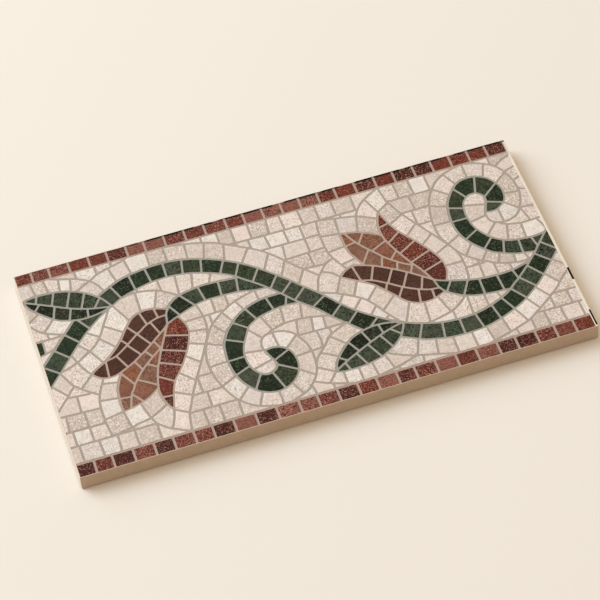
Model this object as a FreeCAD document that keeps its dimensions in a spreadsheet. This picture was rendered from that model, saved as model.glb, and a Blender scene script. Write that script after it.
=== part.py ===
"""Border tile: one pressed and fired piece with a mosaic scroll on its face.

The tile lies face up. Its origin is the centre of its underside, +X runs along the border
and +Z points out of the face. Sizes are in millimetres.
"""
import FreeCAD, Part
import os
import Sketcher

V = FreeCAD.Vector

SIZES = [
    ("tile_length", 300.0, "along the border, one repeat of the scroll"),
    ("tile_width", 150.0, "across the border"),
    ("tile_thickness", 10.5, "from the bedding ribs to the face"),
    ("corner_radius", 0.8, "upright corners, as the press die leaves them"),
    ("face_arris", 0.5, "rounded arris round the face"),
    ("back_bevel", 0.8, "bevel round the underside"),
    ("key_depth", 0.7, "depth of the keying recesses in the underside"),
    ("key_rim", 8.0, "plain rim left round the recesses"),
    ("key_rib", 5.0, "width of the ribs between recesses"),
    ("key_pitch", 24.0, "wanted spacing of the recesses"),
    ("key_taper", 30.0, "slope of a recess's walls, in degrees"),
]


def make_sheet(doc):
    """The driving dimensions, one to a row: value in column A, meaning in column B.

    Below them are the recesses along and across the tile and their true spacing.
    """
    sheet = doc.addObject("Spreadsheet::Sheet", "sizes")
    for row, (alias, value, meaning) in enumerate(SIZES, start=1):
        sheet.set(f"A{row}", str(value))
        sheet.setAlias(f"A{row}", alias)
        sheet.set(f"B{row}", meaning)
    row = len(SIZES) + 1
    for way, side in (("along", "tile_length"), ("across", "tile_width")):
        room = f"({side} - 2 * key_rim + key_rib)"
        for alias, formula in (
            (f"keys_{way}", f"=round({room} / key_pitch)"),
            (f"step_{way}", f"={room} / keys_{way}"),
        ):
            sheet.set(f"A{row}", formula)
            sheet.setAlias(f"A{row}", alias)
            row += 1
    doc.recompute()
    return sheet


def plane(body, role):
    """One of the body's own origin planes or axes."""
    return next(f for f in body.Origin.OriginFeatures if f.Role == role)


def new_sketch(body, name):
    sketch = body.newObject("Sketcher::SketchObject", name)
    sketch.AttachmentSupport = [(plane(body, "XY_Plane"), "")]
    sketch.MapMode = "FlatFace"
    return sketch


def add_rectangle(sketch, left, bottom, right, top):
    """A rectangle bound to the sheet. Each side is a pair: its coordinate now, and its formula."""
    (x0, _), (y0, _), (x1, _), (y1, _) = left, bottom, right, top
    corners = [V(x0, y0, 0), V(x1, y0, 0), V(x1, y1, 0), V(x0, y1, 0)]
    lines = sketch.addGeometry([Part.LineSegment(corners[i - 1], corners[i]) for i in range(4)], False)
    for i in range(4):
        sketch.addConstraint(Sketcher.Constraint("Coincident", lines[i - 1], 2, lines[i], 1))
        sketch.addConstraint(Sketcher.Constraint("Horizontal" if i % 2 else "Vertical", lines[i]))
    start, opposite = (lines[0], 2), (lines[2], 2)
    for name, kind, where, (value, formula) in (
        ("left", "DistanceX", start, left),
        ("bottom", "DistanceY", start, bottom),
        ("right", "DistanceX", opposite, right),
        ("top", "DistanceY", opposite, top),
    ):
        index = sketch.addConstraint(Sketcher.Constraint(kind, *where, value))
        sketch.renameConstraint(index, name)
        sketch.setExpression(f"Constraints.{name}", formula)


def edges_where(shape, wanted):
    """Names of the edges whose bounding box passes the test."""
    return [f"Edge{i}" for i, e in enumerate(shape.Edges, start=1) if wanted(e.BoundBox)]


def dress(body, kind, name, size, formula, wanted):
    """A fillet or chamfer on the edges of the body's tip that pass the test."""
    base = body.Tip
    feature = body.newObject(f"PartDesign::{kind}", name)
    feature.Base = (base, edges_where(base.Shape, wanted))
    feature.setExpression(size, formula)
    body.Document.recompute()


def add_slab(body, sheet):
    """The pressed slab: upright corners, arris round the face and bevel round the underside."""
    outline = new_sketch(body, "outline")
    add_rectangle(
        outline,
        (-sheet.tile_length / 2, "-sizes.tile_length / 2"),
        (-sheet.tile_width / 2, "-sizes.tile_width / 2"),
        (sheet.tile_length / 2, "sizes.tile_length / 2"),
        (sheet.tile_width / 2, "sizes.tile_width / 2"),
    )
    slab = body.newObject("PartDesign::Pad", "slab")
    slab.Profile = outline
    slab.setExpression("Length", "sizes.tile_thickness")
    body.Document.recompute()
    middle = sheet.tile_thickness / 2
    dress(body, "Fillet", "upright_corners", "Radius", "sizes.corner_radius", lambda box: box.ZLength > middle)
    dress(body, "Fillet", "arris", "Radius", "sizes.face_arris", lambda box: box.ZMin > middle)
    dress(body, "Chamfer", "bevel", "Size", "sizes.back_bevel", lambda box: box.ZMax < middle)


def add_keying(body, sheet):
    """The underside's keying: one tapered recess by the first corner, repeated both ways."""
    x0 = -sheet.tile_length / 2 + sheet.key_rim
    y0 = -sheet.tile_width / 2 + sheet.key_rim
    mouth = new_sketch(body, "recess_mouth")
    left = "-sizes.tile_length / 2 + sizes.key_rim"
    bottom = "-sizes.tile_width / 2 + sizes.key_rim"
    add_rectangle(
        mouth,
        (x0, left),
        (y0, bottom),
        (x0 + sheet.step_along - sheet.key_rib, f"{left} + sizes.step_along - sizes.key_rib"),
        (y0 + sheet.step_across - sheet.key_rib, f"{bottom} + sizes.step_across - sizes.key_rib"),
    )
    recess = body.newObject("PartDesign::Pocket", "recess")
    recess.Profile = mouth
    recess.Reversed = True
    recess.setExpression("Length", "sizes.key_depth")
    recess.setExpression("TaperAngle", "-sizes.key_taper")
    body.Document.recompute()

    grid = body.newObject("PartDesign::MultiTransform", "recess_grid")
    grid.Originals = [recess]
    repeats = []
    for way, axis in (("along", "H_Axis"), ("across", "V_Axis")):
        repeat = body.Document.addObject("PartDesign::LinearPattern", f"repeat_{way}")
        repeat.Direction = (mouth, [axis])
        repeat.setExpression("Occurrences", f"sizes.keys_{way}")
        repeat.setExpression("Length", f"sizes.step_{way} * (sizes.keys_{way} - 1)")
        repeats.append(repeat)
    grid.Transformations = repeats
    body.Tip = grid


def check(doc, bodies):
    """Stops at a failed feature or a sub-part with no sound solid."""
    failed = [thing.Label for thing in doc.Objects if {"Invalid", "Error"} & set(thing.State)]
    if failed:
        raise RuntimeError(f"these failed to build: {failed}")
    for body in bodies:
        if body.Shape.isNull() or not body.Shape.isValid() or not body.Shape.Solids:
            raise RuntimeError(f"{body.Label} has no sound solid")


def main():
    doc = FreeCAD.newDocument("border_tile")
    sheet = make_sheet(doc)
    tile = doc.addObject("PartDesign::Body", "tile")
    tile.Label = "border_tile"
    add_slab(tile, sheet)
    add_keying(tile, sheet)
    doc.recompute()
    check(doc, [tile])
    os.makedirs("parts", exist_ok=True)
    tile.Shape.exportStep(f"parts/{tile.Label}.step")
    print(tile.Label, "volume", round(tile.Shape.Volume, 1), "faces", len(tile.Shape.Faces))


main()
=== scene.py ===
"""Looks of the border tile: its mosaic face and fired body, the floor, the light and the camera.

The face is drawn in millimetres from its near left corner: x along the border, y away from it.
Joints are drawn as lines. The pieces of the mosaic are what lies between them.
"""
import math

import bmesh
import bpy
import numpy as np
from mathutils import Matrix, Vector
from mathutils.geometry import delaunay_2d_cdt


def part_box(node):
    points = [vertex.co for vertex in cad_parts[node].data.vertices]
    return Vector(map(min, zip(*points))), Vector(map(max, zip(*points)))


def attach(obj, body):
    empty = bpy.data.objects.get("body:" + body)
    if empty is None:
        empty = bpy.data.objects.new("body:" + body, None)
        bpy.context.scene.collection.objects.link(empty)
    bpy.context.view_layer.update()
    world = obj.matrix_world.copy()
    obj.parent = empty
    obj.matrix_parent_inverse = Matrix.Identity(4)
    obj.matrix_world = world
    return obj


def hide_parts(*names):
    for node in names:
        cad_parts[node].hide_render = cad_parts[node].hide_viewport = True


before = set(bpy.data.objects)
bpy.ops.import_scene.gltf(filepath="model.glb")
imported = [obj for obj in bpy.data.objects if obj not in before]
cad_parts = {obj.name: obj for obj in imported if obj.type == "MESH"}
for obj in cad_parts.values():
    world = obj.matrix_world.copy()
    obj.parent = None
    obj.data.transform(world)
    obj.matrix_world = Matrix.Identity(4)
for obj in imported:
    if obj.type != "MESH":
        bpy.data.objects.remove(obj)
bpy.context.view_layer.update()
LOW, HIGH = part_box("border_tile")
MM = 0.001
LENGTH = (HIGH[0] - LOW[0]) / MM
WIDTH = (HIGH[1] - LOW[1]) / MM

# Outlines and veins of the leaves, and outlines of the vine, its stems and its spirals. A name that
# ends in 2 belongs to the right half, and one that ends in 0 to the vine that comes in at the left.
GREEN_LINES = {
    "leaf_top": [
        (0.6, 129.5), (3.6, 130.6), (9.7, 131.2), (19.4, 130.5), (27.8, 128.3), (35.5, 124.3), (42.9, 117.7),
        (46.7, 111.8), (47.9, 109.2),
    ],
    "leaf_low": [
        (0.6, 129.5), (2.2, 125), (5.3, 120.4), (14.5, 111.3), (20.9, 108.1), (28.4, 106.2), (35.5, 106.2),
        (41.3, 107.2), (47.9, 109.2),
    ],
    "leaf_vein": [(0.6, 129.5), (15.6, 121.3), (23.3, 116.9), (31, 113.5), (38.6, 111.1), (47.9, 109.2)],
    "vine_out": [
        (42.9, 119.3), (50.5, 123.4), (56.4, 126.1), (63.4, 128), (77.5, 129.8), (90.5, 129.2),
        (104.5, 125.4), (118.5, 118.6), (131.5, 109.3), (146.7, 94.1), (154.4, 85.1), (162.1, 76.4),
        (170, 66), (177.3, 57.5), (190.1, 46.6), (199.2, 40.9),
    ],
    "vine_in": [
        (47.9, 109.2), (54, 112.8), (59.7, 115), (71.4, 118), (83, 118.9), (94.5, 117.5), (103.3, 114.7),
        (113.9, 109.9), (120.2, 105.6), (124.5, 101.5), (132.3, 94.3), (140.4, 85.1), (146.7, 77.1),
        (154.7, 68.8), (158.9, 63.8), (163.3, 57.8), (175.7, 43.7),
    ],
    "stem_top": [(77.1, 96.1), (79.1, 99.1), (85.9, 103.4), (97.5, 105.7), (105.5, 105.8), (120.8, 104.4)],
    "stem_low": [
        (73.9, 85.9), (80.5, 88.9), (92.5, 93.4), (99, 94.7), (107.5, 94.8), (115.5, 94.5), (121.5, 93.6),
        (127, 92.2), (135.1, 91.3),
    ],
    "stem_end": [(77.1, 96.1), (75.3, 93.1), (73.9, 85.9)],
    "spiral_out": [
        (140.5, 84.9), (131, 84.7), (122.8, 82.9), (115.4, 79.4), (111.5, 76.6), (105.5, 70.5), (103, 66.9),
        (99.8, 60.4), (98.5, 51.4), (98.4, 47.1), (99.5, 38.7), (102.4, 30.8), (107.5, 23.9), (111, 21.3),
        (114.7, 19.7), (119.2, 19), (123.7, 19.8), (127.7, 21.8), (130.9, 24.6), (133.2, 28), (134.6, 31.8),
        (135.1, 36), (134.7, 40.1), (133.6, 43.5), (131.6, 46.1), (128.9, 48.1), (125.7, 49.1),
        (122.5, 49.1), (119.8, 48.6),
    ],
    "spiral_in": [
        (149, 74.7), (138.1, 75.4), (125.5, 72.9), (119, 69.7), (116.4, 67.6), (114.4, 64.3), (110.5, 56.8),
        (109.1, 52.9), (108.4, 48.6), (108.5, 44.5), (109.3, 40.3), (110.9, 36.9), (113.1, 34.1),
        (116, 32.4), (118.9, 32.5), (121.7, 33.9), (123.3, 36), (123.5, 38.3), (121.6, 43.5), (119.8, 48.6),
    ],
    "vine_top_0": [(-2.9, 77), (24.2, 106.3)],
    "vine_low_0": [(-2.9, 60.6), (5.2, 69.5), (19, 84.9), (27.5, 94), (38.7, 103.5), (47.9, 109.2)],
    "leaf_low_2": [
        (152.7, 20.7), (155.4, 19.7), (159.9, 19.2), (170.3, 19.6), (178.7, 21.4), (182.5, 23), (189.1, 27),
        (194.7, 32.3), (197.9, 37.9), (198.9, 40.7),
    ],
    "leaf_top_2": [
        (152.7, 20.7), (156.7, 29.1), (166.5, 38.9), (174, 42.4), (181, 44), (188.6, 43.8), (195.5, 42.1),
        (198.9, 40.7),
    ],
    "leaf_vein_2": [(152.7, 20.7), (156.4, 23.3), (164.9, 27.9), (181, 35.4), (192.6, 39.6), (198.9, 40.7)],
    "vine_low_2": [
        (194.5, 31.3), (205, 25.7), (210.4, 23.8), (222.3, 21.3), (238.8, 21.3), (250, 23.9), (259.6, 27.6),
        (268.6, 32.3), (280.1, 41), (287, 47.7), (295.9, 57.1), (301.8, 63.9),
    ],
    "vine_top_2": [
        (198.9, 40.7), (206.5, 37.1), (218, 33.4), (228.5, 32.1), (238.6, 32.5), (248.8, 35), (259.9, 39.8),
        (267.2, 45.5), (270.3, 47.8), (277.9, 54.6), (285.6, 62.3), (290.8, 68.3), (301.9, 80.3),
    ],
    "stem_end_2": [(225, 64), (226.2, 57.8), (228.5, 53.6)],
    "stem_low_2": [
        (228.5, 53.6), (230.4, 51.8), (236.9, 47.3), (244.2, 44.6), (254, 43.2), (259.5, 42.9),
        (263.3, 42.5),
    ],
    "stem_top_2": [
        (225, 64), (229, 61.7), (238.2, 58.4), (249.5, 55.4), (259.7, 54.5), (269.3, 54.9), (274.2, 55.9),
        (280.1, 57.6),
    ],
    "spiral_out_2": [
        (286, 63.3), (282.2, 64.2), (274.9, 65.7), (265.6, 70.1), (262.7, 72.1), (257.9, 77.3),
        (253.8, 82.9), (250.8, 89.5), (249.5, 96.6), (249.8, 105.6), (251.7, 113.8), (255.5, 120.4),
        (260.1, 125.7), (262.8, 127.8), (265.7, 128.9), (269.2, 129.3), (272.6, 129.1), (275.6, 128.2),
        (278.9, 126.2), (281.6, 123.4), (284.9, 117.1), (285.3, 110.3), (283.1, 104.8), (278.1, 100.9),
        (274.3, 100.1), (270.3, 100.8),
    ],
    "spiral_in_2": [
        (296.2, 74.8), (288.5, 74.1), (278, 75.5), (272.5, 77.6), (267.3, 81.5), (263.4, 86.5), (260.2, 93),
        (259.1, 100.8), (259.2, 105.2), (260.8, 111.8), (264.5, 115.9), (267.1, 116.7), (269.8, 116.5),
        (271.9, 115), (273.4, 113), (273.8, 110.9), (273.3, 108.3), (270.3, 100.8),
    ],
}
# Outlines and veins of the two tulips' petals
PETAL_LINES = {
    "dark_top": [
        (24.5, 66), (28, 68.8), (32.2, 71.2), (39.8, 77.1), (46.6, 84.7), (49.2, 88.6), (55, 95.8),
        (58.4, 98.3), (61.9, 99.5), (65.4, 99.8), (69, 99.4), (72.5, 98.3), (77.1, 96.1),
    ],
    "dark_low": [
        (24.5, 66), (26.5, 63.6), (29.5, 61.4), (33.1, 60.4), (37.2, 60.8), (41.1, 62.3), (48.8, 66.3),
        (58, 72.6), (64.9, 78.1), (71.5, 83.4), (73.9, 85.9),
    ],
    "dark_vein": [
        (34.1, 72.2), (40.7, 73.9), (48, 78.8), (55.2, 84.4), (58.5, 86.5), (61.7, 88.9), (68.4, 91.8),
        (75.1, 92.5),
    ],
    "brown_left": [(40.1, 61.8), (36.3, 53.6), (35.1, 49.4), (34.3, 40.8), (34.4, 35)],
    "brown_low": [(34.4, 35), (43, 36.8), (50.4, 39.7), (56.9, 44.4)],
    "brown_vein": [
        (38.7, 35.7), (41.8, 45.1), (43.9, 48.3), (45.8, 51.8), (51.4, 58.8), (59.9, 66.3), (66.2, 71.2),
    ],
    "red_left": [
        (73.9, 85.9), (66.6, 71.3), (62.8, 63.2), (59.8, 55.9), (57.8, 48.6), (56.7, 41.3), (58, 33.2),
        (61.1, 26.8),
    ],
    "red_right": [
        (81.1, 89.1), (83.6, 82.7), (84, 76.3), (80.6, 66.5), (74.7, 56), (70, 49.5), (67.4, 46.3),
        (64.6, 39.7), (61.1, 26.8),
    ],
    "dark_top_2": [
        (176.2, 83.9), (179.4, 86.9), (183.7, 89.1), (187.2, 89.2), (195.2, 86.1), (201.3, 82.6),
        (209.2, 77.2), (216.2, 71.7), (225, 64),
    ],
    "dark_low_2": [
        (176.2, 83.9), (184.8, 77.8), (191.4, 72.8), (194.7, 69.2), (200.5, 61.4), (205.8, 54.4),
        (212.3, 50.7), (220.3, 50.5), (228.5, 53.6),
    ],
    "dark_vein_2": [
        (185.6, 77.8), (192.5, 75.4), (200.1, 70.3), (206.9, 65), (214.2, 60.6), (220.7, 57.9),
        (226.2, 57.2),
    ],
    "brown_left_2": [(191.6, 88), (188.7, 94.6), (186.3, 101.4), (185.8, 114.6)],
    "brown_top_2": [(185.8, 114.6), (193.7, 113.1), (199.8, 110.6), (205.9, 107), (208, 105.3)],
    "brown_vein_2": [
        (188.2, 114.4), (192.1, 106.3), (196.4, 99.8), (201.5, 93.1), (205, 88.5), (213.1, 81.1),
        (217.3, 78.5),
    ],
    "red_left_2": [
        (225, 64), (220.8, 74), (216.5, 82.1), (210.8, 95.7), (208.6, 103.4), (208.4, 111.1), (210, 117.7),
        (212.2, 122.6),
    ],
    "red_right_2": [
        (232, 60.8), (234.6, 67.4), (234.8, 74.2), (232.8, 80.7), (229.4, 87.6), (224.5, 95.6),
        (218.5, 104.5), (214.7, 113.3), (212.2, 122.6),
    ],
}
# Joints along the courses of pale pieces
COURSE_LINES = [
    [(18.6, 141.1), (23.9, 139), (34.3, 135.4), (41.3, 131), (44.6, 126.5), (46.7, 121.4)],
    [(31.9, 126.5), (36.2, 129.1), (41.3, 131.8), (45.4, 134.4), (50.4, 136.2), (60, 138.7), (65.4, 140.9)],
    [
        (87.4, 140.9), (95.5, 139.7), (105.3, 137.5), (115.4, 134.1), (123.8, 129.1), (134, 122.7),
        (141, 117.3), (147.5, 110.3), (155, 100.9), (162, 93.3), (165.3, 89.4),
    ],
    [
        (45.6, 108), (43.1, 103), (40.3, 98.3), (37, 92.1), (32.9, 86.3), (27.8, 82.1), (19.2, 76.7),
        (13.6, 74.4), (8, 72.9),
    ],
    [(8, 72.9), (11.6, 64.6), (13.7, 61.1), (18.8, 55.9), (25.2, 50.7)],
    [(30.1, 61.2), (25.3, 50.9), (23.5, 42.8), (23.5, 29.8), (24.7, 21.1)],
    [(53.4, 112.5), (59.8, 113.9), (66.3, 113.6), (72, 112.3), (77.2, 110.1), (86, 103.4)],
    [(44.9, 37.4), (46.2, 31.2), (47.8, 25.6), (49.6, 21.1), (52.2, 18.4), (56.2, 15), (65.9, 9.6)],
    [(24.9, 21), (35.4, 22.8), (40, 24.2), (47.8, 25.8), (58.3, 31.2)],
    [
        (68.4, 22), (70.4, 25.4), (73.6, 32.8), (77, 39.7), (84.1, 52.5), (89.8, 63.5), (92.1, 67.7),
        (94.4, 75.4), (94.8, 83.7), (93.2, 93.6),
    ],
    [
        (127.7, 92.1), (115.4, 88.4), (109.3, 85.4), (103.9, 81.8), (98.5, 77.1), (95.7, 73.7), (91.5, 65.9),
        (88.4, 56.9), (87.7, 47.9), (89.2, 37.4), (93.1, 26.5), (96.9, 20.3), (102.2, 15.1), (107.5, 12.2),
        (115.4, 9.6),
    ],
    [
        (119.8, 48.6), (119.4, 52.2), (120.4, 55.7), (122, 57.7), (124.7, 59), (131.3, 58.9), (137.8, 55.7),
        (141.7, 49.8), (144.2, 43.1), (144.8, 35.6), (143.9, 27.8), (141, 21), (136.6, 15.7), (133.1, 13.1),
        (124.5, 9.6),
    ],
    [(125.1, 59.1), (128.2, 60.8), (135.1, 62.8), (139.7, 63.3), (149.4, 62.6), (161.9, 59.6)],
    [(169.1, 51.5), (158.2, 46.3), (152.7, 40), (147.4, 34.6), (145.4, 31.8), (144, 28.4)],
    [(139.2, 18.4), (146.7, 14.4), (154.4, 11.4), (160.3, 9.5)],
    [(123.1, 129.4), (150.5, 128.8), (200.8, 128.6)],
    [(139.7, 118.6), (174.9, 118.3)],
    [(150.4, 107.1), (174.8, 108)],
    [(158.4, 96.9), (171.4, 96.1)],
    [(68.4, 21.2), (96.3, 21.3)],
    [(73.5, 32.4), (90.9, 32.2)],
    [(79.3, 44), (88, 43.8)],
    [(140.3, 52.2), (159.4, 51.6), (169.1, 51.8)],
    [(83.4, 83.7), (106.8, 84.2)],
    [(-1.9, 44.4), (7.4, 54.6), (10.9, 58.8), (13.2, 60.8)],
    [(-2.5, 87.4), (3.5, 88.6), (10, 90.5)],
    [(17.4, 98.6), (6.3, 103.8), (0.7, 110.2), (-2, 113)],
    [(-1.5, 21.1), (49.8, 20.9)],
    [(-1.5, 31.4), (23.3, 31)],
    [(-1.5, 43), (23.2, 41.7)],
    [(7.4, 54.6), (20.1, 53.3)],
    [(-1.9, 98.3), (17.4, 98.2)],
    [
        (270.3, 100.8), (269.9, 98.3), (271, 93.5), (274.8, 90.7), (281, 90.3), (287.1, 93), (291.5, 99.4),
        (294.3, 108), (294.2, 116.7), (291.9, 125.1), (287.6, 132.3), (279.2, 137.8), (272.4, 139.7),
    ],
    [
        (267.5, 139.7), (262.8, 138.7), (256.6, 136.3), (250.8, 132.1), (245.7, 125.6), (242.3, 118.4),
        (239.9, 109.2), (239, 99.6), (239.7, 91.7), (244.5, 79.9), (249, 73.3), (254.8, 68), (258, 66),
        (261.4, 63.7), (267.9, 60.7), (275.2, 59), (278.7, 58.9), (281.9, 59.5),
    ],
    [(274.8, 90.7), (277.4, 88.6), (282.9, 86.6), (289.8, 85.8), (300.9, 86.6)],
    [(237.8, 46.5), (234.4, 43), (228.3, 39.1), (220.7, 36.8), (212.4, 35.3)],
    [(196.4, 112.2), (198.3, 120.1), (200.6, 126.9), (205.1, 132.4), (211.8, 137.1), (218.1, 140.4)],
    [(176.3, 128.7), (187.2, 126.8), (199.4, 123.9), (206.6, 120.1), (209.6, 118.5)],
    [
        (219.6, 127.3), (221, 125.1), (222.2, 121.6), (224.5, 116.6), (228.4, 109.2), (239.7, 89.3),
        (244.6, 79.1), (245.8, 70.8), (245.2, 61.3), (244.2, 56.7),
    ],
    [(198.9, 15.6), (196.1, 15.1), (192.4, 13.9), (184.7, 11.8), (172.8, 9.6)],
    [(183.2, 23.5), (186.6, 21.2), (194.3, 17.3), (198.9, 15.7), (209.5, 12.7), (219.4, 9.8)],
    [
        (239.6, 9.6), (253.2, 13.4), (260.3, 15.7), (266.9, 18.4), (277.6, 25.7), (282.8, 29.6),
        (288.4, 33.9), (291.1, 36.9), (296.8, 42.3), (301.8, 47),
    ],
    [
        (197.7, 41.6), (191.7, 51.6), (188.5, 57.8), (184.4, 63.6), (179.3, 67.8), (170.9, 73.2),
        (165.4, 75.6), (161.3, 77.6),
    ],
    [(176.8, 99), (171.3, 95.9), (167, 90.9), (165.4, 89.1), (163.9, 86.4), (161.1, 78)],
    [(181.6, 88.7), (176.8, 98.8), (175.1, 106.8), (175.1, 119.8), (176.3, 128.6)],
    [(219.6, 128.1), (246.2, 128)],
    [(224.5, 116.7), (241.7, 116.8)],
    [(230.7, 105.3), (239.3, 105.3)],
    [(245.7, 65.4), (256.5, 65.4)],
    [(284.2, 30.8), (300.8, 30.7)],
    [(272, 20.9), (279.1, 20.7), (300.7, 20.6)],
]
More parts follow.
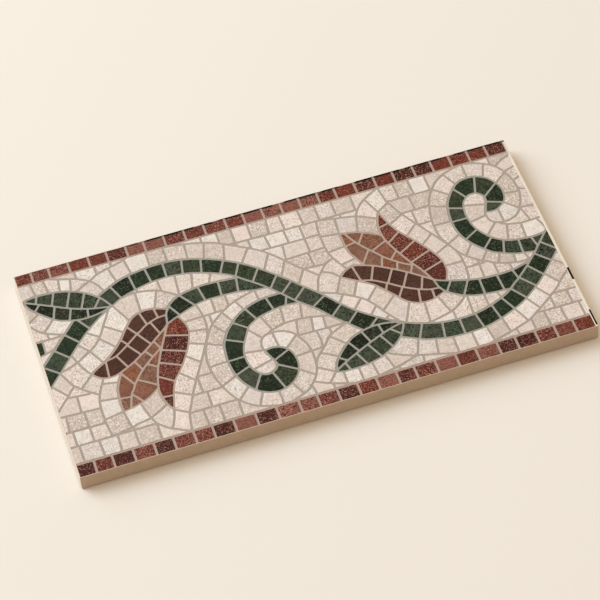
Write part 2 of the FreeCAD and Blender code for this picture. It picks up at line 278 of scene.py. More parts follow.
# Straight joints across a course, a vine or a petal: both ends of each
CROSSES = [
    (8.8, 130.9, 7.2, 126), (18.9, 130.4, 15.6, 121.7), (27.6, 128.4, 23.2, 117.2),
    (35.7, 124.4, 31.3, 113.6), (42.9, 117.3, 38.3, 111.4), (9.4, 124.6, 5.3, 120.6),
    (16.8, 120.4, 14.2, 111.7), (25.1, 115.5, 22.5, 107.6), (34, 112.6, 33, 106.4),
    (50.6, 123.2, 54.7, 113.2), (62.5, 127.6, 63.5, 116.4), (72.6, 129.3, 73.9, 118.5),
    (83.3, 129.7, 83.1, 118.9), (94.4, 128.5, 92.4, 118.3), (105.2, 124.9, 102.6, 115.1),
    (116.7, 119.7, 112.7, 110.6), (124.8, 114.5, 120.4, 105.8), (133.7, 106.9, 128.5, 98.3),
    (142.4, 98.5, 136.6, 90.3), (148.8, 90.9, 141.8, 84.3), (154.8, 84.7, 146.7, 77.2),
    (162.8, 73.9, 154.7, 68.8), (170.2, 65.4, 163, 58.4), (176.8, 57.4, 170, 50.6), (186.8, 49, 180.2, 44.1),
    (78.5, 98, 82.5, 90.1), (86.1, 103.3, 92.5, 93.5), (97.8, 105.6, 98.7, 94.8),
    (109.5, 105.4, 108.5, 94.9), (120.1, 104.4, 118.6, 94.3), (46.4, 83.9, 48.6, 79.5),
    (51.7, 91.5, 55.4, 84.9), (61.1, 99, 62.9, 89.7), (69.7, 99.1, 70.5, 92.5), (34.3, 71.4, 33.3, 60.7),
    (40.6, 73.6, 44.7, 64.3), (48.8, 79.1, 54.2, 70.1), (56.2, 84.7, 61.2, 75.9), (65.4, 90.3, 68.2, 81.1),
    (40.4, 60.9, 44.8, 51.5), (49.5, 66.3, 51.7, 59.9), (56.8, 71.5, 59.9, 66.5), (63, 76.5, 65.6, 71.1),
    (55.2, 62.3, 60.5, 58.5), (47.6, 53.3, 57.4, 46.5), (42.5, 44.7, 46.9, 38.4), (34.6, 44.2, 41.3, 43.6),
    (71, 78.3, 83.3, 74.1), (65.7, 69.1, 78.9, 63.3), (62.2, 60.9, 73.3, 54.9), (59.1, 51.7, 66.4, 45.7),
    (57.1, 37.4, 63.8, 36.2), (143.2, 82.1, 140.8, 75.3), (131.5, 84.7, 133.4, 75.2),
    (118.4, 80.9, 122.3, 71.9), (109.1, 73.7, 116, 67.5), (102.4, 63.2, 110.4, 58.8),
    (98.6, 48.4, 108.3, 48.6), (100.1, 37.9, 108.9, 41.2), (107.6, 24.5, 113, 33.7), (119.3, 32.6, 123, 20),
    (123.7, 36.8, 133.5, 29.5), (123.5, 40.4, 132.3, 44.4), (7.8, 141, 8.7, 131.5),
    (15.6, 140.9, 16.4, 131.3), (23.8, 138.9, 22.9, 129.8), (30.6, 136.4, 29, 127.9), (34, 141, 34.2, 135.6),
    (45.9, 141, 45.9, 134.8), (55.7, 141, 55.7, 137.8), (53.1, 137, 55.3, 125.7), (63.5, 139.5, 64.7, 128.4),
    (76.5, 140.8, 76.5, 130), (86.9, 140.7, 86.7, 129.7), (99.4, 139, 98.5, 127.7),
    (110.2, 135.9, 107.5, 124.4), (120.8, 131.3, 118.2, 119), (133.1, 123.2, 126.6, 113.4),
    (142.8, 115.4, 137.3, 104.1), (150.2, 106.8, 145.2, 96.1), (158.5, 96.8, 152.8, 87.3),
    (109.3, 140.8, 109.5, 136.3), (119.1, 140.8, 118.9, 132.5), (127.6, 140.6, 127.7, 126.9),
    (137.5, 140.6, 137.5, 128.9), (149.2, 140.6, 148.4, 128.9), (134.9, 128.8, 135.2, 122),
    (145.1, 128.8, 145.5, 118.6), (5.6, 20.9, 5.8, 9.5), (16.7, 20.9, 16.9, 9.5), (27.2, 21, 26.6, 9.5),
    (37.3, 21, 37.1, 9.5), (49.1, 21, 49.4, 9.6), (76.1, 21.2, 76.5, 9.6), (85.4, 21.3, 85.6, 9.6),
    (96, 20.9, 95.7, 9.7), (4.5, 31.2, 4.7, 21.1), (14.1, 31.2, 14.2, 21.1), (3.6, 42.6, 3.1, 31.3),
    (14, 42.1, 14.1, 31.3), (12.9, 53.8, 12.5, 42.4), (28.3, 57.2, 36.7, 55.9), (24.6, 46.2, 34.6, 45.2),
    (23.2, 33.4, 34.4, 34.9), (34.4, 34.9, 35.9, 23), (38.9, 23.9, 38.9, 21.2), (61.5, 26.6, 68.4, 22),
    (64.7, 38.3, 73.5, 33), (71, 49.7, 78.1, 42.2), (78, 59.7, 84.7, 52.9), (81.9, 68.1, 90.7, 64.3),
    (84.5, 76.3, 94.1, 74.5), (80.5, 43.5, 79.6, 32.5), (81.8, 32.1, 81.5, 21.3), (102.1, 94.1, 102.2, 84.2),
    (110.4, 94.5, 110.4, 86.2), (114.7, 88.1, 117.4, 80.9), (127.6, 91.3, 127.9, 84.5),
    (98.3, 83.8, 98.1, 76.9), (105.3, 82.9, 109.5, 75.1), (97.9, 76.1, 103.3, 68.1), (91, 64.2, 99.9, 59.9),
    (87.7, 47.8, 98.5, 48.3), (90.5, 33.1, 100.1, 37.1), (97.1, 20.5, 104.3, 27.8),
    (110.5, 21.6, 106.4, 12.6), (119.1, 19.1, 119.1, 9.6), (127.8, 21.7, 131.4, 12.4),
    (133.9, 29.4, 141.8, 22.6), (135, 38.3, 144.7, 39.4), (144.7, 39.4, 151.7, 39.7),
    (132.1, 45.6, 139.8, 52.6), (127.8, 59.3, 128.2, 48.5), (108.6, 50.7, 119.6, 48.9),
    (110.7, 37.9, 122.7, 41.4), (115.4, 65.9, 121.7, 57.3), (124.7, 72.7, 128.5, 60.9),
    (137.3, 75.2, 136.5, 63.1), (148.9, 74.3, 146.6, 63.1), (143.3, 63.2, 141.1, 52.3),
    (151.4, 62.2, 150.2, 51.8), (158.3, 60.6, 157.6, 51.7), (158.9, 51.6, 158.9, 46.8),
    (157.2, 45.4, 164.3, 37.8), (148.8, 36.2, 157.7, 30.5), (144, 27.2, 152, 20.3), (152, 20.3, 147, 14.3),
    (137.6, 16.4, 138.1, 9.7), (148.3, 13.5, 148.9, 9.7), (28.8, 96.1, 35.7, 90.3), (22.3, 88.7, 27.6, 82.3),
    (17.2, 82.7, 19.4, 76.8), (39.6, 96.9, 48.4, 89.1), (34.9, 88.9, 42.3, 80.3), (27.9, 82.1, 32.8, 71.8),
    (24.3, 65.2, 16.5, 58.2), (2.1, 64.8, 8.8, 55.2), (48, 109.4, 54.5, 95.7), (62.9, 113.9, 62.7, 99.7),
    (75, 111.3, 70.6, 99.3), (77.4, 118.5, 77.6, 110.1), (87.9, 118.4, 86.1, 103.7),
    (97.3, 116.5, 94.6, 105.5), (107.9, 112.9, 105.1, 105.9), (64.4, 116.4, 64.8, 113.8),
    (207.9, 35.5, 203.8, 27), (218.8, 32.6, 217.4, 22.9), (229.3, 31.6, 228.7, 21.6),
    (238.8, 31.8, 239.8, 22), (249.5, 34.4, 250.9, 24.6), (256.7, 37.2, 260.3, 28.8), (264, 41.7, 269.1, 34),
    (271.7, 47.8, 277.5, 40.2), (279.5, 53.9, 284, 46.6), (286.1, 61, 291.4, 54.9), (292.1, 68.7, 297.7, 62),
    (233.8, 59.4, 230, 53.3), (243.1, 55.8, 237.9, 47.4), (249.5, 54.8, 248.9, 44.3),
    (259.5, 54.7, 260.2, 43.3), (269.6, 54.8, 270.2, 48.8), (159.6, 23.9, 160.8, 20.1),
    (167.4, 28.2, 170.8, 20.3), (175.5, 32, 179.6, 22.4), (183.9, 35.4, 187.8, 26.9),
    (190.5, 38.2, 194.7, 33.9), (157.6, 29.2, 160.6, 26.6), (166, 37.4, 168.8, 30.7),
    (174.8, 41.4, 177, 34.9), (185, 43.1, 185.8, 38.4), (184.8, 88.5, 186.3, 78.3),
    (196.2, 84.9, 192.4, 76.1), (205.4, 79.1, 200.9, 71), (212.4, 73.8, 207.9, 65), (219.3, 68.1, 216.9, 60),
    (199.1, 70, 198, 66.3), (206, 64.1, 203.4, 58.7), (214.4, 59.4, 212.8, 51.3), (221.7, 57.1, 221.4, 51.1),
    (186.4, 104.8, 192.5, 105.6), (198.5, 110.8, 194.2, 104.2), (196.5, 97.3, 192.5, 89.4),
    (199.2, 96.1, 208.6, 100.7), (202.6, 89.9, 201.1, 83.5), (211.2, 90.9, 207.9, 87.2),
    (209.8, 83, 208.5, 78.3), (216.8, 77.9, 215.1, 73.8), (208.7, 111.3, 214.8, 112.6),
    (210.3, 98.4, 218.2, 104.4), (213.5, 88.4, 224.1, 94.6), (217.1, 80.1, 230.2, 85.2),
    (222.3, 71.1, 234.6, 75.5), (288.2, 73.9, 288.6, 67.3), (280.5, 74.4, 279.5, 64.9),
    (272.5, 77, 269.4, 68.3), (266.3, 81.6, 260.2, 75.3), (261, 89.9, 253.2, 85.7),
    (249.5, 100.4, 258.9, 100.5), (251.1, 111.1, 259.6, 107.8), (258.8, 124, 263.8, 115.5),
    (273.4, 128.6, 270, 116.9), (283.3, 119.5, 274.3, 111.8), (273.9, 108.4, 282.6, 104.5),
    (260.5, 109.4, 272.2, 106.1), (259.7, 96.5, 269.6, 98.3), (266.4, 84.3, 272.5, 90.7),
    (275.9, 77, 278.9, 88), (285.9, 74.7, 286.4, 85.5), (296.1, 85.4, 297.7, 78.3),
    (278.6, 100.2, 278.3, 90.5), (283.7, 103.2, 289.8, 97), (285.4, 110.4, 294.2, 109.3),
    (284.4, 119.4, 291.2, 125.2), (278.5, 126.9, 281.9, 135.6), (269.8, 139.3, 270, 129.4),
    (257.6, 135.9, 261.1, 127.7), (248, 127.9, 254.4, 121.3), (241.4, 116.4, 250, 112.6),
    (239.1, 101, 249.2, 100.9), (242, 85.5, 250, 89.9), (249.5, 74.1, 253.9, 81.2),
    (256.7, 67.4, 260.3, 72.5), (264.5, 62.5, 266.4, 68.1), (274, 59.4, 274.3, 65.4),
    (281.5, 59.2, 280.4, 64.2), (286, 139.3, 286.1, 133.8), (291.2, 126.1, 301, 129.1),
    (294.1, 118, 301, 120.9), (294.7, 111.6, 297.8, 109.7), (290.9, 96.7, 300.9, 95.9),
    (291.9, 96.3, 292.7, 86.1), (294.5, 53.2, 300.8, 47.1), (253.1, 68.1, 253, 55.8),
    (261.5, 63.6, 261.5, 55.4), (269.8, 60, 270.2, 55.6), (205.8, 51.8, 201.3, 40.9),
    (214.9, 49.9, 213.4, 36.6), (223.7, 50.7, 226.3, 39.1), (227.8, 38.4, 227.8, 33.2),
    (238.4, 45.5, 237.9, 32.9), (247.9, 43.1, 247.9, 35.3), (255.5, 42.6, 256.7, 38.9),
    (202.4, 25.7, 199.1, 15.8), (211.6, 22, 210.1, 12.9), (221.2, 20.5, 220.9, 10.7),
    (232.2, 20.2, 232.6, 10.2), (241.7, 20.7, 242.8, 10.8), (251.8, 23.3, 253.1, 13.8),
    (261, 27.4, 264.6, 18), (270, 32.2, 274.2, 23.9), (278, 37.6, 282.4, 29.9), (286.3, 44.8, 291.1, 37.8),
    (156.7, 18.8, 156.4, 9.9), (165.5, 18.6, 165.5, 9.7), (173.8, 19.7, 174.5, 10.1),
    (182.4, 21.8, 183.9, 12.2), (186.8, 12.1, 187, 10), (201.6, 14.4, 200.6, 9.9), (257.1, 12.7, 257.1, 9.8),
    (266.9, 17.6, 267, 9.7), (275.6, 20.1, 275.7, 9.7), (285.1, 19.7, 285.4, 9.9), (296.1, 20.1, 296.3, 9.9),
    (282.6, 29.3, 282.4, 21), (292.9, 30.4, 292.7, 21), (157.2, 139.8, 157.8, 128.6),
    (168.2, 139.8, 168.6, 128.6), (178.6, 139.8, 178.8, 128.6), (188.8, 139.7, 188.9, 128.6),
    (200.7, 139.7, 200.5, 128.7), (156.6, 128.6, 156.6, 118.5), (166.2, 128.5, 166, 118.3),
    (152.6, 118.5, 153.1, 107.4), (166, 118.3, 166, 107.8), (164.6, 107.6, 165.2, 96.3),
    (190.8, 128.6, 191, 126.1), (174.9, 116.3, 185.8, 115), (187.2, 126.8, 186, 115),
    (175.7, 103.8, 185.8, 104.4), (180, 92.7, 188.7, 94), (207.8, 134.2, 212.1, 122.8),
    (212.3, 123, 219.6, 127.2), (227.1, 139.6, 227.1, 128.2), (236.4, 139.5, 236.4, 128.1),
    (246.4, 139.5, 246.1, 128.6), (232.8, 127.8, 233.1, 116.9), (230.7, 116.2, 231.8, 105.5),
    (215.6, 111.2, 224.5, 116.3), (222, 99.4, 229.5, 106.4), (228.8, 90.7, 234.8, 95.9),
    (232.9, 80.9, 241.6, 84.9), (234.9, 70.8, 245.7, 71), (173.7, 71.3, 170.5, 66.3),
    (181.9, 64.8, 177.3, 59.2), (188.3, 57.3, 184.6, 52.5), (193.2, 48.3, 191.3, 46.8),
    (175.8, 83.5, 171.6, 74.5), (183.6, 77.3, 180.4, 69.2), (192.9, 70.4, 186.5, 62.7),
    (200.3, 60.6, 192.6, 53.3), (26.3, 105.3, 31.6, 98.3), (16.7, 97.9, 23.4, 90.9), (8.4, 88.9, 15.4, 82),
    (0.5, 79.7, 7.8, 73.2), (4.3, 97.1, 3.4, 90.2), (7.2, 104.5, 14, 111.2), (-2, 111.2, 7.3, 117.9),
    (8.1, 102.4, 8.4, 99.2),
]
# Bent joints across a course
BENT_CROSSES = [
    [(61.2, 26.8), (60.4, 23.8), (59.1, 19.8), (56.8, 14.8)],
    [(68.4, 21.8), (67.4, 15.8), (66.4, 9.6)],
    [(19.3, 76.7), (21, 72.4), (23, 68.4), (24.5, 66)],
    [(151.4, 51.7), (152, 45.3), (151.2, 38.6)],
    [(218, 140.4), (218.3, 136.2), (218.9, 132.2), (219.6, 127.3)],
    [(167.6, 91.3), (171.4, 89.3), (174, 87.2), (176.2, 84.1)],
    [(288.8, 132.3), (291.3, 134.2), (294.5, 136), (301, 138)],
]

# Heights of the long joints beside the two red borders, at the left end and at the right one
BORDER_LOW = (9.3, 9.7)
BORDER_HIGH = (141.4, 140.2)
# Places of the joints across the far border and the near one
BORDER_CUTS_HIGH = [
    10, 20.2, 32, 43.9, 54.8, 66.5, 77.2, 89.3, 101.5, 113.5, 126.3, 137.3, 148.8, 160.2, 171.4, 182.8,
    193.4, 205.6, 217.8, 229.5, 241.9, 253.1, 264.5, 275.9, 287,
]
BORDER_CUTS_LOW = [
    10.1, 20.3, 32.1, 43.9, 54.9, 66.5, 77.2, 89.3, 101.8, 113.9, 126.7, 137.4, 149.1, 160.7, 171.7, 183.4,
    193.8, 206, 218.1, 229.9, 242.5, 253.2, 265.1, 276.3, 287.5,
]

# Half widths of the joints by kind, and the kind of joint between pieces of each kind
HALF_WIDTH = {"border": 0.69, "green": 0.63, "petal": 0.62, "course": 0.67}
JOINT_IN = {
    "cream": "course", "green": "green", "light_leaf": "green", "dark_leaf": "green",
    "maroon": "petal", "brown": "petal", "red": "petal",
}

# The step between points of a smooth line, and how far lines run past the tile's edges
LINE_STEP = 0.6
PAST_END = 2
# The grid of distances to the joints: its step, and the farthest distance it holds
STEP = 0.2
REACH = 3.0
# Contours of that distance: how far outside a joint each one runs, and its height on the face
LEVELS = {"floor": (-0.2, -0.24), "edge": (0.0, -0.12), "top": (0.28, 0.0)}
# How far each contour keeps from the rim of the mosaic. An edge point that is farther from the joints
# than BY_RIM lies on the rim, and is as high as the face.
RIM = {"floor": 0.67, "edge": 0.61, "top": 0.67}
BY_RIM = 0.12
# A triangle between edge points is part of a piece unless it goes deeper into a joint than this
IN_JOINT = -0.05
# The plain strip at the right end, where the mosaic stops short
PLAIN_END = 1.1
SMALLEST_AREA = 0.3
# The least bend of a sharp edge
CREASE = math.radians(40)
SEED = 7


def spline(points):
    """A smooth line through the points."""
    if len(points) == 2:
        return np.array(points, float)
    doubled = np.array([points[0], *points, points[-1]], float)
    stretches = []
    for a, b, c, d in zip(doubled, doubled[1:], doubled[2:], doubled[3:]):
        count = max(2, math.ceil(np.hypot(*(c - b)) / LINE_STEP))
        t = np.linspace(0, 1, count, endpoint=False)[:, None]
        curve = 2 * b + (c - a) * t + (2 * a - 5 * b + 4 * c - d) * t**2
        curve += (3 * b - a - 3 * c + d) * t**3
        stretches.append(0.5 * curve)
    return np.vstack([*stretches, doubled[-1:]])


def snap(end, targets, reach=2.6):
    """The nearest point of the drawn lines to a joint's end, if one is within reach."""
    gap = np.hypot(*(targets - end).T)
    return targets[gap.argmin()] if gap.min() < reach else np.array(end, float)


def face_lines():
    """Every joint of the face as (points, kind)."""
    drawn = [(GREEN_LINES.values(), "green"), (PETAL_LINES.values(), "petal"), (COURSE_LINES, "course")]
    found = [(spline(points), kind) for lines, kind in drawn for points in lines]
    along = np.arange(-PAST_END, LENGTH + PAST_END, LINE_STEP)
    for left, right in (BORDER_LOW, BORDER_HIGH):
        height = left + (right - left) * along / LENGTH
        found.append((np.column_stack([along, height]), "border"))
    targets = np.vstack([line for line, kind in found])
    for x0, y0, x1, y1 in CROSSES:
        ends = np.array([snap((x0, y0), targets), snap((x1, y1), targets)])
        found.append((ends, JOINT_IN[piece_kind((x0 + x1) / 2, (y0 + y1) / 2)]))
    found += [(spline(points), "course") for points in BENT_CROSSES]
    found += [(np.array([(x, -PAST_END), (x, BORDER_LOW[0])]), "border") for x in BORDER_CUTS_LOW]
    found += [(np.array([(x, BORDER_HIGH[0]), (x, WIDTH + PAST_END)]), "border") for x in BORDER_CUTS_HIGH]
    return found


def window(first, second, margin, count):
    """The grid lines within a margin of the stretch between two coordinates."""
    low = math.floor((min(first, second) - margin) / STEP)
    high = math.ceil((max(first, second) + margin) / STEP) + 1
    return slice(min(max(0, low), count), min(max(0, high), count))


def joint_field(lines):
    """On a fine grid: how far each place lies outside the nearest joint, and that joint's kind."""
    across = np.arange(round(LENGTH / STEP) + 1)[None, :] * STEP
    up = np.arange(round(WIDTH / STEP) + 1)[:, None] * STEP
    rows, columns = up.size, across.size
    depth = np.full((rows, columns), REACH)
    nearest = np.zeros((rows, columns), int)
    kinds = list(HALF_WIDTH)
    for points, kind in lines:
        half = HALF_WIDTH[kind]
        for (x0, y0), (x1, y1) in zip(points, points[1:]):
            near = window(y0, y1, REACH + half, rows), window(x0, x1, REACH + half, columns)
            x = across[:, near[1]] - x0
            y = up[near[0]] - y0
            dx, dy = x1 - x0, y1 - y0
            t = np.clip((x * dx + y * dy) / (dx * dx + dy * dy + 1e-12), 0, 1)
            away = np.hypot(x - t * dx, y - t * dy) - half
            closer = away < depth[near]
            depth[near][closer] = away[closer]
            nearest[near][closer] = kinds.index(kind)
    return blur(depth), nearest


def blur(field):
    """A light blur, which rounds the corners of the pieces."""
    weights = {-2: 1, -1: 4, 0: 6, 1: 4, 2: 1}
    for axis in (0, 1):
        padding = [(2, 2) if a == axis else (0, 0) for a in (0, 1)]
        padded = np.pad(field, padding, mode="edge")
        total = sum(np.roll(padded, shift, axis) * weight for shift, weight in weights.items())
        total = total / sum(weights.values())
        field = total[2:-2] if axis == 0 else total[:, 2:-2]
    return field


def grid_place(point):
    """Row and column of the grid at a point of the face."""
    return round(point.y / STEP), round(point.x / STEP)


# For each case of a grid cell, the sides that a contour enters and leaves by.
# Sides are 0 near, 1 right, 2 far and 3 left, and the higher ground is kept on the left.
CASES = {
    1: [(0, 3)], 2: [(1, 0)], 3: [(1, 3)], 4: [(2, 1)], 5: [(0, 1), (2, 3)], 6: [(2, 0)], 7: [(2, 3)],
    8: [(3, 2)], 9: [(0, 2)], 10: [(3, 0), (1, 2)], 11: [(1, 2)], 12: [(3, 1)], 13: [(0, 1)], 14: [(3, 0)],
}


def contours(field):
    """Closed loops along which the field is zero, in millimetres."""
    high = field > 0
    case = high[:-1, :-1] * 1 + high[:-1, 1:] * 2 + high[1:, 1:] * 4 + high[1:, :-1] * 8
    follow = {}
    for number, passes in CASES.items():
        for j, i in zip(*np.nonzero(case == number)):
            sides = ((0, i, j), (1, i + 1, j), (0, i, j + 1), (1, i, j))
            for enter, leave in passes:
                follow[sides[enter]] = sides[leave]
    loops = []
    while follow:
        start, here = follow.popitem()
        loop = [start]
        while here != start:
            loop.append(here)
            here = follow.pop(here)
        places = []
        for upright, i, j in loop:
            a = field[j, i]
            b = field[j + 1, i] if upright else field[j, i + 1]
            t = a / (a - b)
            places.append((i, j + t) if upright else (i + t, j))
        loops.append(np.array(places) * STEP)
    return loops


def thin(loop, slack=0.03):
    """The loop with only the points that its shape needs."""
    far = int(np.hypot(*(loop - loop[0]).T).argmax())
    keep = {0, far}
    closed = np.vstack([loop, loop[:1]])
    stack = [(0, far), (far, len(loop))]
    while stack:
        a, b = stack.pop()
        if b - a < 2:
            continue
        chord = closed[b] - closed[a]
        size = math.hypot(*chord)
        offset = closed[a + 1 : b] - closed[a]
        gap = np.hypot(*offset.T)
        if size > 1e-9:
            gap = np.abs(offset[:, 0] * chord[1] - offset[:, 1] * chord[0]) / size
        worst = int(gap.argmax())
        if gap[worst] > slack:
            middle = a + 1 + worst
            keep.add(middle)
            stack += [(a, middle), (middle, b)]
    return loop[sorted(keep)]


def area_of(loop):
    x, y = loop.T
    return 0.5 * abs(x @ np.roll(y, -1) - y @ np.roll(x, -1))


def rim_distance(rows, columns, inset):
    """How far each place of the grid lies inside the mosaic's rim, less an inset."""
    x = np.arange(columns) * STEP
    y = np.arange(rows) * STEP
    dx = np.minimum(x, LENGTH - PLAIN_END - x)[None, :]
    dy = np.minimum(y, WIDTH - y)[:, None]
    return np.minimum(dx, dy) - inset


def srgb(red, green, blue):
    """A colour as it is seen, from 0 to 255 a channel, in the linear values that Blender wants."""
    channels = [value / 255 for value in (red, green, blue)]
    return tuple(c / 12.92 if c <= 0.04045 else ((c + 0.055) / 1.055) ** 2.4 for c in channels)


# Tones of the pieces, by kind. A leaf has a light half and a dark one, in the vine's material.
TONES = {
    "cream": [
        (207, 190, 174), (213, 196, 181), (219, 204, 192), (228, 210, 197), (230, 219, 207), (222, 206, 191),
    ],
    "green": [(27, 33, 14), (30, 38, 18), (52, 58, 36), (60, 68, 50), (68, 72, 56), (34, 46, 26)],
    "light_leaf": [(56, 63, 44), (60, 66, 49), (64, 68, 51)],
    "dark_leaf": [(20, 25, 6), (30, 35, 16), (40, 41, 27)],
    "maroon": [(76, 46, 34), (80, 50, 38), (72, 43, 32)],
    "brown": [(136, 84, 60), (132, 88, 68), (134, 84, 66), (130, 92, 74)],
    "red": [(104, 49, 35), (84, 36, 26), (118, 62, 49), (70, 29, 21), (136, 84, 70), (110, 47, 31)],
}
SAME_AS = {"light_leaf": "green", "dark_leaf": "green"}
JOINT_TONES = {
    "border": srgb(176, 153, 137),
    "green": srgb(162, 157, 144),
    "petal": srgb(181, 159, 143),
    "course": srgb(174, 160, 145),
}
# The fired body: long sides, ends, arris, plain strip, bevel and underside
SIDE_TONE = srgb(185, 161, 138)
# Painted light: the ends are the same fired body as the long sides, painted paler as lit ends against the
# shaded long sides
PAINTED_LIGHT_END_TONE = srgb(222, 207, 186)
ARRIS_TONE = srgb(222, 202, 178)
STRIP_TONE = srgb(240, 227, 208)
# Painted shadow: the bevel at the foot is painted dark to stand in for the contact shadow along the tile's
# base
PAINTED_SHADOW_BEVEL_TONE = srgb(128, 104, 80)
UNDERSIDE_TONE = srgb(198, 160, 132)
# Dark marks: a line along the far edge, faint up to FAINT_TO, which is painted shade on the far arris, and
# slivers in the plain strip, from and to along the tile and across it
DARK_TONE = srgb(14, 10, 4)
EDGE_LINE = 1.3
FAINT_TO = (60, 80)
SLIVERS = [(298.85, 300.2, 1.4, 13), (298.6, 300.2, 36.4, 45.6), (298.55, 298.8, 138, 148.2)]
# How each material varies. Cloud: its slow change of tone. Dark and light: the share and colour of
# the grains. Size: grains to a millimetre.
LOOK = {
    "body": {"cloud": 0.05, "dark": (0.12, (140, 112, 88)), "light": (0.1, (232, 214, 190)), "size": 1.6},
    "joint": {"cloud": 0.05, "dark": (0.2, (136, 122, 110)), "light": (0.12, (206, 196, 186)), "size": 1.8},
    "cream": {"cloud": 0.07, "dark": (0.3, (166, 142, 124)), "light": (0.5, (246, 236, 224)), "size": 1.3},
    "green": {"cloud": 0.3, "dark": (0.5, (8, 14, 6)), "light": (0.3, (92, 106, 84)), "size": 1.1},
    "maroon": {"cloud": 0.12, "dark": (0.36, (40, 20, 14)), "light": (0.22, (120, 78, 64)), "size": 1.2},
    "brown": {"cloud": 0.25, "dark": (0.42, (88, 54, 36)), "light": (0.3, (172, 122, 92)), "size": 1.1},
    "red": {"cloud": 0.12, "dark": (0.56, (42, 16, 10)), "light": (0.54, (178, 122, 104)), "size": 1.5},
}
MATERIALS = list(LOOK)


def between(first, second):
    """The outline between two lines: the first forwards, the second back."""
    lines = {**GREEN_LINES, **PETAL_LINES}
    return np.vstack([lines[first], lines[second][::-1]])


BROWN_LEFT = np.array([
    (40.1, 61.8), (34.5, 45), (34.4, 35), (46.9, 38.2), (56.9, 44.4), (60.7, 57.9), (66.6, 71.3),
    (73.9, 85.9), (64.9, 78.1), (54, 69.7),
])
BROWN_RIGHT = np.array([
    (191.6, 88), (186, 104.8), (185.8, 114.6), (196.5, 112.1), (208, 105.3), (209.5, 99.6), (214.2, 87),
    (218.5, 78.3), (225, 64), (216.2, 71.7), (205.4, 79.8), (195.2, 86.1),
])
# The kind of piece inside each figure of the scroll
FIGURES = [
    ("light_leaf", between("leaf_top", "leaf_vein")),
    ("dark_leaf", between("leaf_vein", "leaf_low")),
    ("green", between("vine_out", "vine_in")),
    ("green", between("stem_top", "stem_low")),
    ("green", between("spiral_out", "spiral_in")),
    ("light_leaf", between("leaf_vein_2", "leaf_low_2")),
    ("dark_leaf", between("leaf_top_2", "leaf_vein_2")),
    ("green", between("vine_top_2", "vine_low_2")),
    ("green", between("stem_top_2", "stem_low_2")),
    ("green", between("spiral_out_2", "spiral_in_2")),
    ("green", between("vine_top_0", "vine_low_0")),
    ("maroon", between("dark_top", "dark_low")),
    ("maroon", between("dark_top_2", "dark_low_2")),
    ("red", between("red_left", "red_right")),
    ("red", between("red_left_2", "red_right_2")),
    ("brown", BROWN_LEFT),
    ("brown", BROWN_RIGHT),
]


def inside(outline, x, y):
    """Whether a place lies inside a closed outline."""
    within = False
    for (x0, y0), (x1, y1) in zip(outline, np.roll(outline, -1, axis=0)):
        if (y0 > y) != (y1 > y) and x < x0 + (y - y0) / (y1 - y0) * (x1 - x0):
            within = not within
    return within


def piece_kind(x, y):
    """The kind of piece at a place: red in the border rows, and cream round the figures."""
    if y < BORDER_LOW[0] or y > BORDER_HIGH[0]:
        return "red"
    return next((kind for kind, outline in FIGURES if inside(outline, x, y)), "cream")


def open_shell(source):
    """The tile without its flat face, and the points round the opening, in order."""
    shell = bmesh.new()
    shell.from_mesh(source.data)
    bmesh.ops.remove_doubles(shell, verts=shell.verts, dist=1e-6)
    flat = [f for f in shell.faces if all(v.co.z > HIGH[2] - 1e-6 for v in f.verts)]
    bmesh.ops.delete(shell, geom=flat, context="FACES")
    edge = next(e for e in shell.edges if e.is_boundary)
    start, here = edge.verts
    ring = [start]
    while here != start:
        ring.append(here)
        edge = next(e for e in here.link_edges if e.is_boundary and e != edge)
        here = edge.other_vert(here)
    return shell, ring


def face_mesh(depth, ring):
    """Triangles of the face: places in millimetres, the level of each and the triangles."""
    places = [Vector(((v.co.x - LOW[0]) / MM, (v.co.y - LOW[1]) / MM)) for v in ring]
    levels = ["ring"] * len(ring)
    edges = [(k, (k + 1) % len(ring)) for k in range(len(ring))]
    for level, (offset, _) in LEVELS.items():
        ground = offset - depth if level == "floor" else depth - offset
        for loop in contours(np.minimum(ground, rim_distance(*depth.shape, RIM[level]))):
            loop = thin(loop)
            if len(loop) < 3 or area_of(loop) < SMALLEST_AREA:
                continue
            first, count = len(places), len(loop)
            places += [Vector(place) for place in loop]
            levels += [level] * count
            edges += [(first + k, first + (k + 1) % count) for k in range(count)]
    points, _, triangles, origins, _, _ = delaunay_2d_cdt(places, edges, [], 0, 1e-5)
    return points, [levels[o[0]] if o else "edge" for o in origins], triangles, origins


def in_a_piece(corners, points, levels, depth):
    """Whether a triangle is part of a piece, and not of a joint or the rim."""
    found = {levels[c] for c in corners}
    if found != {"edge"}:
        return "top" in found
    a, b, c = (points[k] for k in corners)
    spots = [(a + b) / 2, (b + c) / 2, (c + a) / 2, (a + b + c) / 3]
    return min(depth[grid_place(spot)] for spot in spots) > IN_JOINT


def groups(count, triangles):
    """A number for each point: points that the triangles join have the same one."""
    parent = list(range(count))

    def root(k):
        while parent[k] != k:
            parent[k] = parent[parent[k]]
            k = parent[k]
        return k

    for a, b, c in triangles:
        parent[root(a)] = root(b)
        parent[root(b)] = root(c)
    return [root(k) for k in range(count)]


def piece_middles(points, triangles, number):
    """The middle of each piece, by its number."""
    totals = {}
    for corners in triangles:
        a, b, c = (points[k] for k in corners)
        size = abs((b - a).cross(c - a)) / 2
        total = totals.setdefault(number[corners[0]], np.zeros(3))
        total += (size, size * (a.x + b.x + c.x) / 3, size * (a.y + b.y + c.y) / 3)
    return {key: (x / size, y / size) for key, (size, x, y) in totals.items()}


def choose_tones(middles):
    """For each piece: its material, its tone and its own random number."""
    chance = np.random.default_rng(SEED)
    chosen = {}
    for key, (x, y) in sorted(middles.items(), key=lambda item: item[1]):
        kind = piece_kind(x, y)
        tone = np.array(TONES[kind][chance.integers(len(TONES[kind]))]) * chance.uniform(0.97, 1.03)
        chosen[key] = (SAME_AS.get(kind, kind), srgb(*tone), chance.uniform(0, 20))
    return chosen


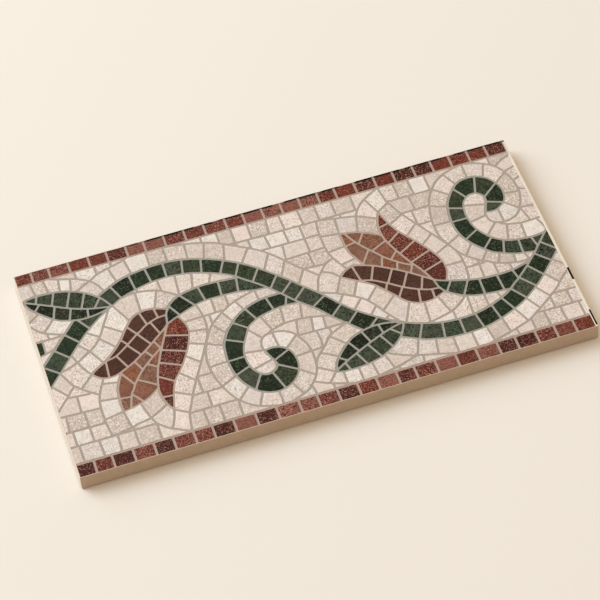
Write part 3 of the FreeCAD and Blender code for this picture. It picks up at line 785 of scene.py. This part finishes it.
def paint(points, levels, triangles, depth, nearest):
    """For each triangle: its material, its tone at each corner and its own random number."""
    belongs = [in_a_piece(corners, points, levels, depth) for corners in triangles]
    pieces = [corners for corners, yes in zip(triangles, belongs) if yes]
    number = groups(len(points), pieces)
    chosen = choose_tones(piece_middles(points, pieces, number))
    joint_tones = [JOINT_TONES[kind] for kind in HALF_WIDTH]
    painted = []
    for corners, yes in zip(triangles, belongs):
        if yes:
            material, tone, cut = chosen[number[corners[0]]]
            painted.append((material, [tone] * 3, cut))
        elif any(levels[c] == "ring" for c in corners):
            at_end = min(points[c].x for c in corners) > LENGTH - 2 * PLAIN_END
            painted.append(("body", [STRIP_TONE if at_end else ARRIS_TONE] * 3, 0.0))
        else:
            tones = [joint_tones[nearest[grid_place(points[c])]] for c in corners]
            painted.append(("joint", tones, 0.0))
    return painted


def body_tone(face):
    """The tone of a face of the body, by the way it faces: the ends get painted light, the foot's bevel a
    painted shadow.
    """
    out = face.normal
    if out.z > 0.3:
        if out.y < -0.2:
            return SIDE_TONE
        return STRIP_TONE if out.x > 0.2 else ARRIS_TONE
    # The bevel at the foot gets the dark tone of the painted contact shadow
    if -0.9 < out.z < -0.3 and min(v.co.z for v in face.verts) < LOW[2] + 1e-5:
        return PAINTED_SHADOW_BEVEL_TONE
    # Ends get the paler tone of the painted light, long sides the darker shaded one
    if abs(out.z) < 0.6:
        return PAINTED_LIGHT_END_TONE if abs(out.x) > 0.7 else SIDE_TONE
    return UNDERSIDE_TONE


# The flat layout for baking: its margin, the tile's width in it, where the face and the underside
# start, and the step between the strips of the sides
MARGIN = 0.015
FLAT_WIDTH = 0.97
FACE_START = 0.505
UNDERSIDE_START = 0.25
STRIP_STEP = 0.05


def flat_place(co, normal):
    """Where a point of the tile goes in its flat layout. The underside is half as large there."""
    x, y, z = (co[k] - LOW[k] for k in range(3))
    scale = FLAT_WIDTH / (HIGH[0] - LOW[0])
    if normal.z > 0.6:
        return MARGIN + x * scale, FACE_START + y * scale
    if normal.z < -0.6:
        return MARGIN + x * scale / 2, UNDERSIDE_START + y * scale / 2
    strip = (normal.y > 0.5) + 2 * (abs(normal.x) > 0.7) + (normal.x > 0.7)
    along = x if abs(normal.y) > abs(normal.x) else y
    return MARGIN + along * scale, MARGIN + strip * STRIP_STEP + z * scale


def add_corners(shell, ring, points, levels, origins, depth):
    """The points of the face as vertices of the shell, each at its height."""
    corners = []
    for point, level, origin in zip(points, levels, origins):
        if level == "ring":
            corners.append(ring[origin[0]])
            continue
        by_rim = level == "edge" and depth[grid_place(point)] > BY_RIM
        z = HIGH[2] + (0 if by_rim else LEVELS[level][1] * MM)
        corners.append(shell.verts.new((LOW[0] + point.x * MM, LOW[1] + point.y * MM, z)))
    return corners


def add_object(name, data):
    made = bpy.data.objects.new(name, data)
    bpy.context.scene.collection.objects.link(made)
    return made


def build_tile():
    """The tile as one closed mesh, with the mosaic cut into its face."""
    depth, nearest = joint_field(face_lines())
    shell, ring = open_shell(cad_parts["border_tile"])
    points, levels, triangles, origins = face_mesh(depth, ring)
    painted = paint(points, levels, triangles, depth, nearest)

    glaze = shell.loops.layers.float_color.new("glaze")
    cut_of = shell.loops.layers.float.new("cut")
    place = shell.loops.layers.uv.new("OFBake")
    for face in shell.faces:
        face.smooth = True
        tone = body_tone(face)
        for loop in face.loops:
            loop[glaze] = (*tone, 1)
    corners = add_corners(shell, ring, points, levels, origins, depth)
    for triangle, (material, tones, cut) in zip(triangles, painted):
        a, b, c = triangle
        if (points[b] - points[a]).cross(points[c] - points[a]) < 0:
            triangle, tones = (a, c, b), (tones[0], tones[2], tones[1])
        face = shell.faces.new([corners[k] for k in triangle])
        face.material_index = MATERIALS.index(material)
        face.smooth = len({levels[k] for k in triangle}) > 1
        for loop, tone in zip(face.loops, tones):
            loop[glaze] = (*tone, 1)
            loop[cut_of] = cut
    shell.normal_update()
    for face in shell.faces:
        for loop in face.loops:
            loop[place].uv = flat_place(loop.vert.co, face.normal)
    for edge in shell.edges:
        edge.smooth = edge.calc_face_angle(0) < CREASE

    mesh = bpy.data.meshes.new("border_tile_face")
    shell.to_mesh(mesh)
    shell.free()
    for name in MATERIALS:
        mesh.materials.append(fired_material(name))
    return add_object("mosaic_tile", mesh)


def node(tree, kind, inputs=None, **settings):
    """A shader node with its settings and inputs; an input may be another node's output."""
    made = tree.nodes.new(kind)
    for name, value in settings.items():
        setattr(made, name, value)
    for name, value in (inputs or {}).items():
        if isinstance(value, bpy.types.NodeSocket):
            tree.links.new(value, made.inputs[name])
        else:
            made.inputs[name].default_value = value
    return made


def times(tree, a, b):
    return node(tree, "ShaderNodeMath", {0: a, 1: b}, operation="MULTIPLY").outputs[0]


def added(tree, a, b):
    return node(tree, "ShaderNodeMath", {0: a, 1: b}, operation="ADD").outputs[0]


def spread(tree, value, low, high, to_low, to_high):
    """The value carried from one range to another, and held in it."""
    inputs = {"Value": value, "From Min": low, "From Max": high, "To Min": to_low, "To Max": to_high}
    return node(tree, "ShaderNodeMapRange", inputs).outputs["Result"]


def band(tree, value, low, high, soft=0.05):
    """One where the value is between low and high, else nought."""
    above = spread(tree, value, low - soft, low + soft, 0, 1)
    return times(tree, above, spread(tree, value, high - soft, high + soft, 1, 0))


def mixed(tree, factor, a, b, blend="MIX"):
    """Two colours of four channels mixed."""
    inputs = {0: factor, 6: a, 7: b}
    return node(tree, "ShaderNodeMix", inputs, data_type="RGBA", blend_type=blend).outputs[2]


def object_place(tree):
    return node(tree, "ShaderNodeTexCoord").outputs["Object"]


def in_millimetres(tree, where):
    return node(tree, "ShaderNodeVectorMath", {0: where, "Scale": 1 / MM}, operation="SCALE").outputs[0]


def noise(tree, scale, detail=2.0, cut=None):
    """Noise with so many waves to a millimetre, its own in each mosaic piece where cut is given."""
    inputs = {"Vector": in_millimetres(tree, object_place(tree)), "Scale": scale, "Detail": detail}
    if cut is not None:
        inputs["W"] = cut
    dimensions = "3D" if cut is None else "4D"
    return node(tree, "ShaderNodeTexNoise", inputs, noise_dimensions=dimensions).outputs["Fac"]


def far_edge_shade_and_slivers(tree):
    """How much of the dark marks there is: a ragged, broken line at the far edge, which is painted shade on
    the far arris, and the slivers.
    """
    corner = {0: object_place(tree), 1: LOW}
    place = node(tree, "ShaderNodeVectorMath", corner, operation="SUBTRACT").outputs[0]
    x, y, z = node(tree, "ShaderNodeSeparateXYZ", {0: in_millimetres(tree, place)}).outputs
    ragged = added(tree, y, times(tree, noise(tree, 0.5), 0.6))
    breaks = spread(tree, noise(tree, 0.09, 1.0), 0.38, 0.44, 0.2, 1)
    marks = times(tree, band(tree, ragged, WIDTH - EDGE_LINE, WIDTH + PAST_END, 0.15), breaks)
    marks = times(tree, marks, spread(tree, x, *FAINT_TO, 0.35, 1))
    for x0, x1, y0, y1 in SLIVERS:
        marks = added(tree, marks, times(tree, band(tree, x, x0, x1), band(tree, y, y0, y1)))
    return times(tree, marks, spread(tree, z, 9.9, 10.1, 0, 1))


def new_material(name, roughness, specular):
    """A material, and its shader."""
    material = bpy.data.materials.new(name)
    material.use_nodes = True
    shader = material.node_tree.nodes["Principled BSDF"]
    shader.inputs["Roughness"].default_value = roughness
    shader.inputs["Specular IOR Level"].default_value = specular
    return material, shader


def fired_material(name):
    """The painted tone with clouds, dark grains and light grains over it, and a fine bump."""
    look = LOOK[name]
    material, shader = new_material(name, 0.6, 0.15)
    tree = material.node_tree
    tone = node(tree, "ShaderNodeAttribute", attribute_name="glaze").outputs["Color"]
    cut = node(tree, "ShaderNodeAttribute", attribute_name="cut").outputs["Fac"]

    cloud = noise(tree, 0.3, 3.0, cut)
    grey = spread(tree, cloud, 0.3, 0.7, 1 - look["cloud"], 1 + look["cloud"])
    clouds = node(tree, "ShaderNodeCombineColor", {0: grey, 1: grey, 2: grey}).outputs[0]
    tone = mixed(tree, 1.0, tone, clouds, "MULTIPLY")

    grain = noise(tree, look["size"], 3.0, cut)
    chance = node(tree, "ShaderNodeMath", {0: cut}, operation="FRACT").outputs[0]
    strength = spread(tree, chance, 0, 1, 1, 2.9)
    for (share, colour), start, full in ((look["dark"], 0.46, 0.36), (look["light"], 0.54, 0.66)):
        amount = times(tree, spread(tree, grain, start, full, 0, share), strength)
        tone = mixed(tree, amount, tone, (*srgb(*colour), 1))
    # Painted shade along the far edge, and the dark slivers, over the red pieces and the body
    if name in ("red", "body"):
        tone = mixed(tree, far_edge_shade_and_slivers(tree), tone, (*DARK_TONE, 1))

    tree.links.new(tone, shader.inputs["Base Color"])
    fine = noise(tree, 3.0, 2.0)
    bump = node(tree, "ShaderNodeBump", {"Height": fine, "Strength": 0.25, "Distance": 0.00008})
    tree.links.new(bump.outputs["Normal"], shader.inputs["Normal"])
    return material


def add_floor():
    bpy.ops.mesh.primitive_plane_add(size=8, location=(0, 0, LOW[2]))
    floor = bpy.context.object
    floor.name = "floor"
    material, shader = new_material("floor", 0.9, 0.1)
    shader.inputs["Base Color"].default_value = (*srgb(243, 234, 221), 1)
    floor.data.materials.append(material)


def add_light():
    """A large cool lamp behind the tile on the left, and a warm sky."""
    data = bpy.data.lights.new("key", "AREA")
    data.color = (0.96, 1.13, 1.35)
    data.size = 3.4
    data.energy = 134
    key = add_object("key", data)
    key.location = (-2.5, 2.1, 2.5)
    key.rotation_euler = (-key.location).to_track_quat("-Z", "Y").to_euler()

    sky = bpy.data.worlds.new("soft light")
    bpy.context.scene.world = sky
    sky.use_nodes = True
    background = sky.node_tree.nodes["Background"]
    background.inputs["Color"].default_value = (1, 0.87, 0.71, 1)
    background.inputs["Strength"].default_value = 0.62


def add_camera():
    """The camera, as fitted to the tile's corners in the photograph."""
    data = bpy.data.cameras.new("camera")
    data.sensor_width = 36
    data.lens = 154.851
    camera = add_object("camera", data)
    camera.location = (-0.222206, -0.890789, 1.143655)
    camera.rotation_euler = [math.radians(angle) for angle in (38.93203, 3.18843, -17.89791)]
    bpy.context.scene.camera = camera


tile = build_tile()
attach(tile, "root")
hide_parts("border_tile")
add_floor()
add_light()
add_camera()
bpy.context.scene.view_settings.view_transform = "Standard"
